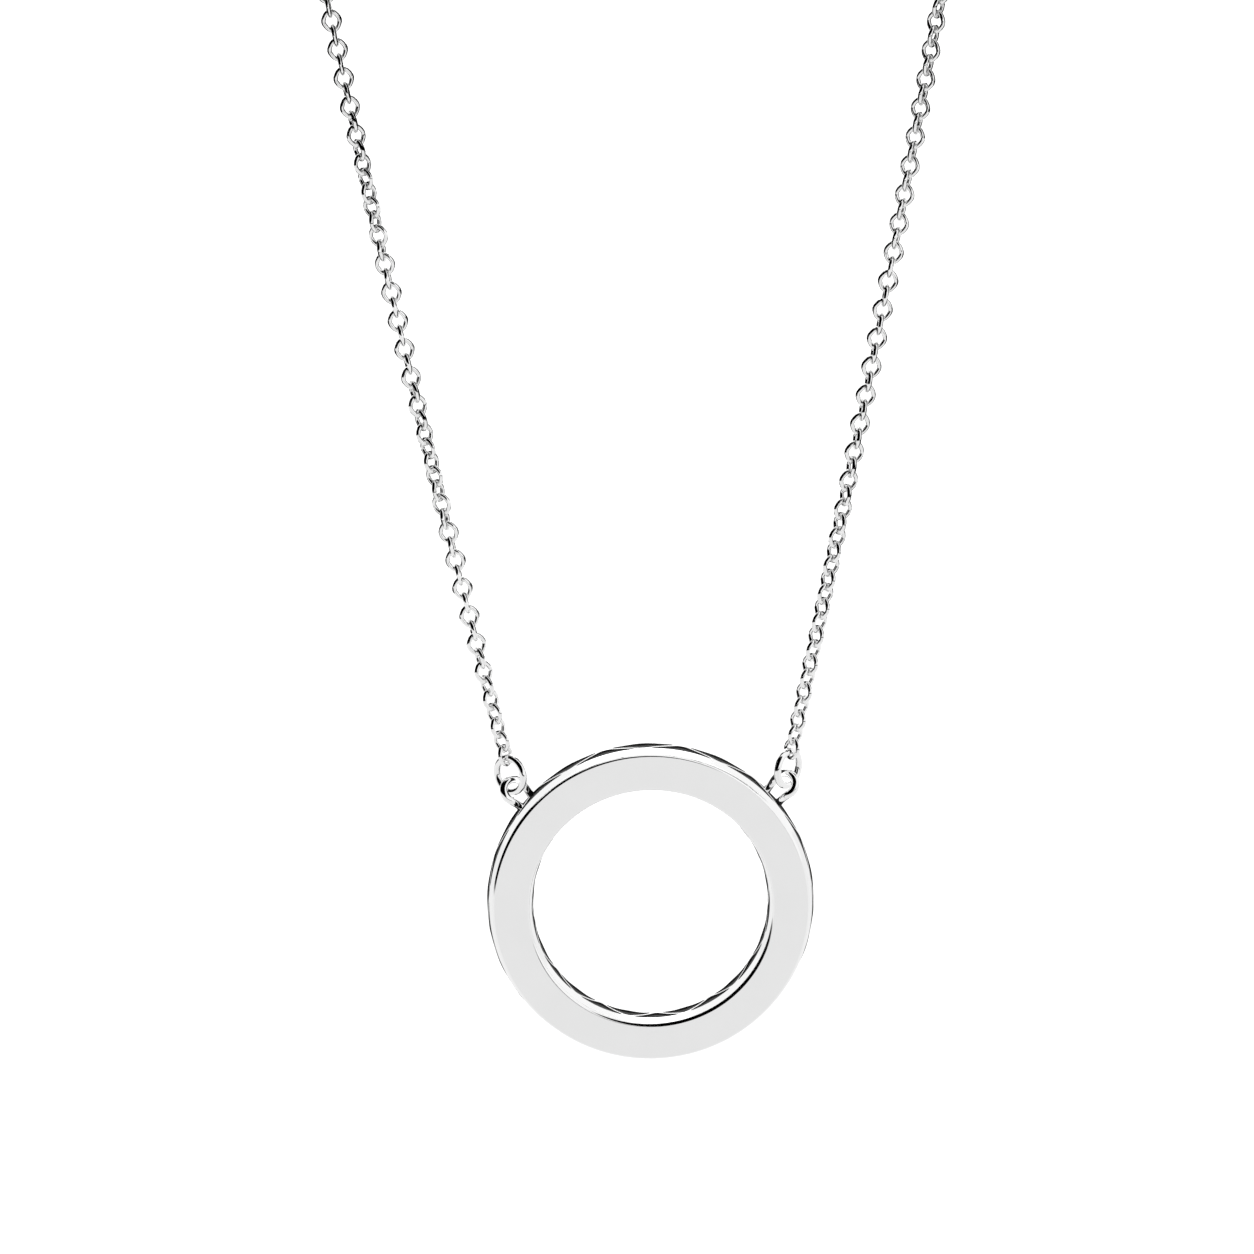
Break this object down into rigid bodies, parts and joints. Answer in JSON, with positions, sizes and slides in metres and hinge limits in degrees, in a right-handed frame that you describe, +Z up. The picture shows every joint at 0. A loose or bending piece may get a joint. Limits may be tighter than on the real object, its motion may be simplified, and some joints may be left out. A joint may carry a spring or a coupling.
{
  "type": "circle necklace",
  "caption": "Necklace with a flat open ring pendant hung by wire lugs and jump rings from a closed loop of fine cable chain with a plain barrel clasp.",
  "frame": {"origin": "under the middle of the clasp at the top of the loop, where the necklace rests on what holds it", "axes": "+Z up along the hanging loop, +X to the viewer's right, and the pendant's face toward -Y"},
  "size_m": [0.075, 0.0024, 0.2099],
  "materials": {
    "polished_silver": "polished silver",
    "jump_ring_silver": "polished silver wire",
    "chain_silver": "polished silver wire",
    "clasp_silver": "polished silver"
  },
  "bodies": {
    "strands": {"jump_ring_left": "jump_ring_silver", "jump_ring_right": "jump_ring_silver", "chain_left": "chain_silver", "chain_right": "chain_silver", "chain_left_back": "chain_silver", "chain_right_back": "chain_silver", "clasp": "clasp_silver"},
    "pendant": {"pendant_ring": "polished_silver"}
  },
  "joints": [
    {"name": "pendant_swing", "type": "hinge", "parent": "strands", "child": "pendant", "pos_m": [0, -0.0004, -0.19142], "axis": [1, 0, 0], "range_deg": [-20, 20]}
  ]
}
